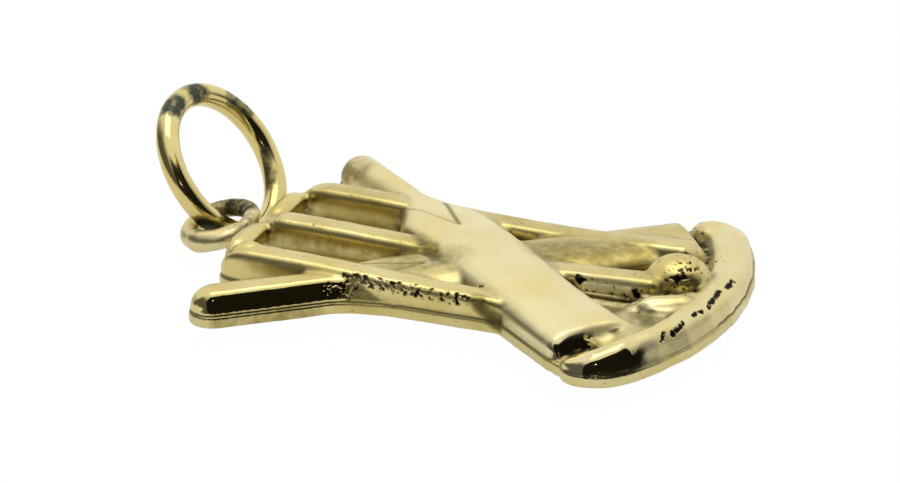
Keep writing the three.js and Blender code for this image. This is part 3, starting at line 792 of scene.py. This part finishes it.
def gold_material(slot):
    """Gold with tone, grain, speckles, tarnished film, olive dirt and wear, with painted shade in
    recesses and shaded places and painted light on lit tops, for one slot of the record.
    """
    name = "charm_" + slot
    if name in bpy.data.materials:
        return bpy.data.materials[name]
    gold = bpy.context.scene.charm_gold
    finish = gold_finishes(gold)[slot]
    material, build = shader_base(name)
    place = build("ShaderNodeTexCoord")["Object"]
    marks = {m: build("ShaderNodeAttribute", attribute_name=m)["Fac"] for m in MARKS}
    tarnish_and_shade = build(
        "ShaderNodeGroup",
        {
            "Place": place,
            "Recess": marks["recess"],
            "Line": marks["line"],
            "Pit": marks["pit"],
            "Patch Scale": TARNISH_AND_SHADE_SCALE,
        },
        node_tree=group_of("Tarnish", tarnish_and_shade_group),
    )
    grain = build(
        "ShaderNodeGroup",
        {"Place": place, "Tone Scale": TONE_SCALE, "Grain Scale": finish.grain_scale},
        node_tree=group_of("Cast Grain", grain_group),
    )
    inputs = {"Vector": place, "Scale": CLOUD_SCALE, "Detail": 4.0}
    cloud = build("ShaderNodeTexNoise", inputs)["Fac"]

    # Wear and painted light: the worn mark lightens towards pale satin
    light = build.mixed(marks["worn"], (*finish.light, 1), (*gold.satin_and_sheen, 1))
    deep = build.mixed(marks["worn"], (*gold.deep, 1), (*gold.polished, 1))
    toned = build.mixed(grain["Tone"], light, deep)
    # Grime and painted shade: the grime mark darkens towards olive, broken up by clouds
    cloudy = build.math("MULTIPLY", build.math("SUBTRACT", cloud, GRIME_AND_SHADE_START), GRIME_AND_SHADE_GAIN)
    uneven = build.math("ADD", grain["Tone"], cloudy)
    grime_and_shade_share = build.math("MULTIPLY", marks["grime"], uneven)
    grimed_and_shaded = build.mixed(grime_and_shade_share, toned, (*gold.grime, 1))
    speckle = build.math("MULTIPLY", grain["Speckle"], finish.speckle)
    flecked = build.mixed(speckle, grimed_and_shaded, (*gold.tarnish_and_shade, 1))
    # Tarnish and painted shade: recesses, joint lines and pits darken to the tarnish colour
    stained_and_shaded = build.mixed(tarnish_and_shade["Mask"], flecked, (*gold.tarnish_and_shade, 1))
    # Pit dirt, and the painted shadow on the ring in the eye's pocket
    pitted_and_shaded = build.mixed(marks["pit"], stained_and_shaded, (*gold.pit, 1))
    spread = build.math("MULTIPLY", cloud, FILM_SPREAD)
    patchy = build.math("ADD", spread, build.math("SUBTRACT", marks["film"], 1.0))
    film = build.ranged(patchy, from_min=0.0, from_max=FILM_EDGE)
    filmed = build.mixed(film, pitted_and_shaded, (*gold.solder, 1))

    rough = build.ranged(grain["Tone"], to_min=finish.shine, to_max=finish.dull)
    dulled = build.math("MAXIMUM", tarnish_and_shade["Mask"], film)
    rough = build.math("ADD", rough, build.math("MULTIPLY", dulled, FILM_ROUGHNESS))
    rough = build.math("ADD", rough, build.math("MULTIPLY", marks["worn"], WORN_AND_LIT_ROUGHNESS))
    rough = build.ranged(marks["polish"], to_min=rough, to_max=POLISHED_ROUGHNESS)
    depth = build.ranged(marks["polish"], to_min=finish.grain_depth, to_max=0.0)
    bump = build(
        "ShaderNodeBump",
        {"Height": grain["Height"], "Strength": depth, "Distance": GRAIN_HEIGHT},
    )
    shader = build(
        "ShaderNodeBsdfPrincipled",
        {"Base Color": filmed, "Metallic": 1.0, "Roughness": rough, "Normal": bump["Normal"]},
    )
    build("ShaderNodeOutputMaterial", {"Surface": shader["BSDF"]})
    return material


# Pieces


def record_slot(node):
    """The record's material slot of a node."""
    return next(p["material_slot"] for p in frame["record"]["subparts"] if p["node"] == node)


def dress(piece, node):
    """Hands a finished piece over to the frame in place of its node."""
    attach(piece, piece_body(node))
    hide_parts(node)


def piece_body(node):
    """The moving body that a node belongs to."""
    bodies = frame["record"]["behaviour"]["bodies"]
    return next(body for body, members in bodies.items() if node in members)


def boundary_edges(faces):
    """The directed edges that only one face has."""
    pairs = face_sides(faces)
    keys = np.sort(pairs, axis=1)
    _, first, counts = np.unique(keys, axis=0, return_index=True, return_counts=True)
    return pairs[first[counts == 1]]


def thinned(mesh, share):
    """A mesh with a share of its triangles, taken out where it is flattest."""
    name = mesh.name
    mesh.name = name + "_full"
    thing = linked(mesh.name, mesh)
    thing.modifiers.new("Thin", "DECIMATE").ratio = share
    thin = as_plain_mesh(thing)
    thin.name = name
    return thin


def face_as_told(mesh):
    """Turns the normals of a mesh the way that its "facing" attribute says."""
    turned = mesh.attributes["facing"]
    normals = np.empty(len(mesh.vertices) * 3, dtype=np.float32)
    turned.data.foreach_get("vector", normals)
    mesh.attributes.remove(turned)
    mesh.normals_split_custom_set_from_vertices(unit(normals.reshape(-1, 3)).tolist())


def cut_piece(node):
    """One node's share of the cast skin, closed by an inner wall."""
    skin = bpy.data.meshes[SKIN_NAME]
    casting = bpy.context.scene.charm_casting
    places, faces = mesh_arrays(skin)
    normals = point_normals(places, faces)
    labels = read_mark(skin, "label").astype(int)
    share = faces[labels[faces[:, 0]] == CAST_NODES.index(node)]
    used, share = np.unique(share, return_inverse=True)
    share = share.reshape(-1, 4)
    outer, facing = places[used], normals[used]
    inner = outer - casting.wall * facing
    count = len(used)
    rim = boundary_edges(share)
    walls = np.stack([rim[:, 1], rim[:, 0], rim[:, 0] + count, rim[:, 1] + count], axis=1)
    all_faces = np.concatenate([share, share[:, ::-1] + count, walls])
    mesh = new_mesh("charm_" + node, np.concatenate([outer, inner]) * MM, all_faces)
    for mark in MARKS:
        values = read_mark(skin, mark)[used]
        write_mark(mesh, mark, np.concatenate([values, values]))
    turned = mesh.attributes.new("facing", "FLOAT_VECTOR", "POINT")
    turned.data.foreach_set("vector", np.concatenate([facing, -facing]).ravel())
    triangles = 2 * len(all_faces)
    if triangles > casting.most_triangles:
        mesh = thinned(mesh, casting.most_triangles / triangles)
    face_as_told(mesh)
    mesh.materials.append(gold_material(record_slot(node)))
    dress(linked(mesh.name, mesh), node)


class CHARM_OT_skin(bpy.types.Operator):
    """Casts one skin round the soldered pieces and finishes it by hand"""

    bl_idname = "charm.skin"
    bl_label = "Cast Skin"

    def execute(self, context):
        casting = context.scene.charm_casting
        places, faces = voxel_skin(casting)
        edges = face_edges(faces)
        places = smoothed(places, edges, casting.soften)
        labels = nearest_nodes(places)
        places = fill_corners(places, faces, edges, casting.solder)
        places = smoothed(places, edges, SETTLE_ROUNDS)
        ground = labels == CAST_NODES.index("ground_rim")
        swell = run_zone(places, SWOLLEN_RUNS) - ground * run_zone(places, SUNK_RUNS)
        places = places + swell[:, None] * point_normals(places, faces)
        for pieces in (MELTED, {}):
            melted = zone(places, labels, edges, pieces, MELTED_RUNS)[:, None]
            places = places + melted * (smoothed(places, edges, casting.melt) - places)
        normals = point_normals(places, faces)
        kept_lines_and_shade = 1 - run_zone(places, CLEAN_RUNS)
        lines = kept_lines_and_shade * joint_lines(labels, edges, len(places))
        # Dark runs sink and darken the skin: the splice line, and painted shade in the pocket and
        # the creases
        lines = np.maximum(lines, LINE_DEPTH * run_zone(places, DARK_RUNS))
        places = places - (casting.grow + lines)[:, None] * normals
        marks = {
            "label": labels,
            # Recess: painted shade in hollows and corners, kept off the rubbed runs
            "recess": kept_lines_and_shade * recesses(places, normals, edges),
            "line": lines / LINE_DEPTH,
            "pitting": zone(places, labels, edges, PITTED, PITTED_RUNS),
            "film": run_zone(places, FILMED_RUNS),
            "worn": zone(places, labels, edges, WORN_AND_LIT, WORN_AND_LIT_RUNS),
            "grime": zone(places, labels, edges, GRIMY_AND_SHADED, GRIMY_AND_SHADED_RUNS),
            "polish": run_zone(places, POLISHED_RUNS),
        }
        mesh = new_mesh(SKIN_NAME, places, faces)
        for name, values in marks.items():
            write_mark(mesh, name, values)
        thing = linked(SKIN_NAME, mesh)
        values = {
            "Wave Height": casting.wave_height,
            "Wave Size": casting.wave_size,
            "Pit Size": casting.pit_size,
            "Pit Depth": casting.pit_depth,
            "Seed": casting.seed,
            "Gold": gold_material("cast_gold"),
        }
        nodes_modifier(thing, finish_tree(), values)
        finished = as_plain_mesh(thing)
        finished.name = SKIN_NAME
        return {"FINISHED"}


class CHARM_OT_plate(bpy.types.Operator):
    """Cuts the back plate from the cast skin"""

    bl_idname = "charm.plate"
    bl_label = "Back Plate"

    def execute(self, context):
        cut_piece("back_plate")
        return {"FINISHED"}


class CHARM_OT_wicket(bpy.types.Operator):
    """Cuts the stumps and bails from the cast skin"""

    bl_idname = "charm.wicket"
    bl_label = "Stumps and Bails"

    def execute(self, context):
        for node in CAST_NODES:
            if node.endswith(("_stump", "_bail")):
                cut_piece(node)
        return {"FINISHED"}


class CHARM_OT_bats(bpy.types.Operator):
    """Cuts the handles and blades of the bats from the cast skin"""

    bl_idname = "charm.bats"
    bl_label = "Bats"

    def execute(self, context):
        for node in CAST_NODES:
            if "_bat_" in node:
                cut_piece(node)
        return {"FINISHED"}


class CHARM_OT_ground(bpy.types.Operator):
    """Cuts the strip of ground and the ball from the cast skin"""

    bl_idname = "charm.ground"
    bl_label = "Ground and Ball"

    def execute(self, context):
        cut_piece("ground_rim")
        cut_piece("ball")
        return {"FINISHED"}


class CHARM_OT_eye(bpy.types.Operator):
    """Cuts the hanging eye from the cast skin"""

    bl_idname = "charm.eye"
    bl_label = "Hanging Eye"

    def execute(self, context):
        cut_piece("hanging_eye")
        return {"FINISHED"}


class CHARM_OT_ring(bpy.types.Operator):
    """Bends the loose jump ring from round wire"""

    bl_idname = "charm.ring"
    bl_label = "Jump Ring"

    def execute(self, context):
        wire = context.scene.charm_wire
        places, _ = node_surface(RING_NODE)
        centre = places.mean(axis=0)
        axes = np.linalg.svd(places - centre, full_matrices=False)[2]
        flat = (places - centre) @ axes.T
        spans = np.linalg.norm(flat[:, :2], axis=1)
        wire_radius = (spans.max() - spans.min()) / 2
        thing = linked(RING_NODE + "_wire", bpy.data.meshes.new(RING_NODE + "_wire"))
        values = {
            "Radius": spans.max() - wire_radius,
            "Wire Radius": wire_radius,
            "Wave Height": wire.wave_height,
            "Wave Size": wire.wave_size,
            "Steps": wire.steps,
            "Sides": wire.sides,
            "Gold": gold_material("wire_gold"),
        }
        nodes_modifier(thing, ring_tree(), values)
        mesh = as_plain_mesh(thing)
        turn = Matrix(axes.T.tolist()).to_4x4()
        if turn.determinant() < 0:
            turn = turn @ Matrix.Scale(-1, 4, (0, 0, 1))
        mesh.transform(Matrix.Scale(MM, 4) @ Matrix.Translation(centre) @ turn)
        mesh.shade_smooth()
        places = np.array([vertex.co[:] for vertex in mesh.vertices]) / MM
        write_mark(mesh, "film", run_zone(places, FILMED_RUNS))
        # The ring's pit mark is a painted shadow where it sits in the eye's pocket
        write_mark(mesh, "pit", run_zone(places, SHADOW_POCKET_RUNS))
        mesh.name = "charm_" + RING_NODE
        dress(linked(mesh.name, mesh), RING_NODE)
        return {"FINISHED"}


# Studio


def tent_world(studio):
    """A light tent: white overhead and behind, with a dim room on the camera's side."""
    world = bpy.data.worlds.new("light_tent")
    world.use_nodes = True
    world.node_tree.nodes.clear()
    build = Builder(world.node_tree)
    direction = build("ShaderNodeTexCoord")["Generated"]
    height = build("ShaderNodeSeparateXYZ", {"Vector": direction})["Z"]
    sight = Vector(studio.camera_aim) - Vector(studio.camera_place)
    away = Vector((sight.x, sight.y, 0)).normalized()
    behind = build.along(direction, away)
    beside = build.along(direction, Vector((-away.y, away.x, 0)))
    covered = build.math("MULTIPLY", build.math("MAXIMUM", beside, 0.0), studio.flag)
    reach = build.math("ADD", height, build.math("MAXIMUM", behind, 0.0))
    reach = build.math("SUBTRACT", reach, covered)
    level = build(
        "ShaderNodeMapRange",
        {
            "Value": reach,
            "From Min": 0.1,
            "From Max": 0.8,
            "To Min": studio.room,
            "To Max": studio.sky,
        },
        interpolation_type="SMOOTHSTEP",
    )["Result"]
    seen = build("ShaderNodeLightPath")["Is Camera Ray"]
    strength = build.ranged(seen, to_min=level, to_max=1.0)
    light = build("ShaderNodeBackground", {"Color": WHITE, "Strength": strength})
    build("ShaderNodeOutputWorld", {"Surface": light["Background"]})
    return world


def floor_material():
    """White paper that keeps a faint shadow."""
    material, build = shader_base("studio_paper")
    paper = build("ShaderNodeBsdfDiffuse", {"Color": PAPER})
    glow = build("ShaderNodeEmission", {"Color": WHITE, "Strength": 1.0})
    path = build("ShaderNodeLightPath")
    seen = build.math("MULTIPLY", path["Is Camera Ray"], PAPER_GLOW)
    mirrored = build.math("MULTIPLY", path["Is Glossy Ray"], PAPER_MIRRORED)
    shown = build.math("ADD", seen, mirrored)
    mix = build("ShaderNodeMixShader", {0: shown, 1: paper["BSDF"], 2: glow["Emission"]})
    build("ShaderNodeOutputMaterial", {"Surface": mix["Shader"]})
    return material


def card_material():
    """Black velvet."""
    material, build = shader_base("studio_card")
    cloth = build("ShaderNodeBsdfDiffuse", {"Color": VELVET})
    build("ShaderNodeOutputMaterial", {"Surface": cloth["BSDF"]})
    return material


def sheet(name, corners, material):
    """A flat four-cornered stage piece, with corners in millimetres."""
    mesh = new_mesh(name, np.array(corners, dtype=float) * MM, np.array([[0, 1, 2, 3]]))
    mesh.materials.append(material)
    thing = linked(name, mesh)


def bent_card(name, distance, start, end, low, high, material):
    """A card bent round the object: degrees from -X towards -Y, heights in millimetres."""
    row = CARD_STEPS + 1
    turns = np.radians(np.linspace(start, end, row))
    feet = np.stack([-np.cos(turns), -np.sin(turns)], axis=1) * distance
    places = np.concatenate([np.column_stack([feet, np.full(row, z)]) for z in (low, high)])
    faces = np.array([[i, i + 1, i + 1 + row, i + row] for i in range(CARD_STEPS)])
    mesh = new_mesh(name, places * MM, faces)
    mesh.materials.append(material)
    card = linked(name, mesh)
    card.visible_camera = False
    card.visible_diffuse = False
    card.visible_shadow = False


def soft_box(name, place, size, power):
    """A square lamp that faces the origin, with places in millimetres."""
    lamp = bpy.data.lights.new(name, "AREA")
    lamp.shape = "SQUARE"
    lamp.size = size * MM
    lamp.energy = power
    thing = linked(name, lamp)
    thing.location = Vector(place) * MM
    thing.rotation_euler = Vector(place).to_track_quat("Z", "Y").to_euler()


class CHARM_OT_stage(bpy.types.Operator):
    """Sets the paper, the light tent and the camera"""

    bl_idname = "charm.stage"
    bl_label = "Studio"

    def execute(self, context):
        studio = context.scene.charm_studio
        context.scene.view_settings.view_transform = "Standard"
        context.scene.world = tent_world(studio)
        floor = CAD_BOX[0][2] / MM
        signs = ((-1, -1), (1, -1), (1, 1), (-1, 1))
        corners = [(x * FLOOR_HALF, y * FLOOR_HALF, floor) for x, y in signs]
        sheet("studio_floor", corners, floor_material())
        card = {"distance": 110, "start": -3, "end": 104, "low": 0, "high": 145}
        bent_card("front_card", **card, material=card_material())
        soft_box("overhead_box", place=(40, 20, 220), size=160, power=0.1)
        soft_box("bare_lamp", place=(-82.6, -33.4, 45.4), size=3, power=0.0006)
        camera = bpy.data.cameras.new("camera")
        camera.lens = studio.lens
        camera.sensor_width = SENSOR
        camera.clip_start = NEAREST * MM
        thing = linked("camera", camera)
        place = Vector(studio.camera_place)
        sight = place - Vector(studio.camera_aim)
        roll = Euler((0, 0, math.radians(studio.camera_roll))).to_matrix()
        turn = sight.to_track_quat("Z", "Y").to_matrix() @ roll
        thing.matrix_world = Matrix.Translation(place * MM) @ turn.to_4x4()
        context.scene.camera = thing
        return {"FINISHED"}


class CHARM_PT_panel(bpy.types.Panel):
    """Buttons in the order that the charm is made"""

    bl_label = "Cricket Charm"
    bl_idname = "CHARM_PT_panel"
    bl_space_type = "VIEW_3D"
    bl_region_type = "UI"
    bl_category = "Charm"

    def draw(self, context):
        for operator in OPERATORS:
            self.layout.operator(operator.bl_idname)


SETTINGS = {
    "charm_casting": CHARM_PG_casting,
    "charm_wire": CHARM_PG_wire,
    "charm_gold": CHARM_PG_gold,
    "charm_studio": CHARM_PG_studio,
}
OPERATORS = (
    CHARM_OT_skin,
    CHARM_OT_plate,
    CHARM_OT_wicket,
    CHARM_OT_bats,
    CHARM_OT_ground,
    CHARM_OT_eye,
    CHARM_OT_ring,
    CHARM_OT_stage,
)


def register():
    for kind in (*SETTINGS.values(), *OPERATORS, CHARM_PT_panel):
        bpy.utils.register_class(kind)
    for name, kind in SETTINGS.items():
        setattr(bpy.types.Scene, name, PointerProperty(type=kind))


def unregister():
    for name in SETTINGS:
        delattr(bpy.types.Scene, name)
    for kind in (CHARM_PT_panel, *reversed(OPERATORS), *reversed(SETTINGS.values())):
        bpy.utils.unregister_class(kind)


def main():
    register()
    bpy.ops.charm.skin()
    bpy.ops.charm.plate()
    bpy.ops.charm.wicket()
    bpy.ops.charm.bats()
    bpy.ops.charm.ground()
    bpy.ops.charm.eye()
    bpy.ops.charm.ring()
    bpy.ops.charm.stage()
    bpy.data.meshes.remove(bpy.data.meshes[SKIN_NAME])


if __name__ == "__main__":
    main()
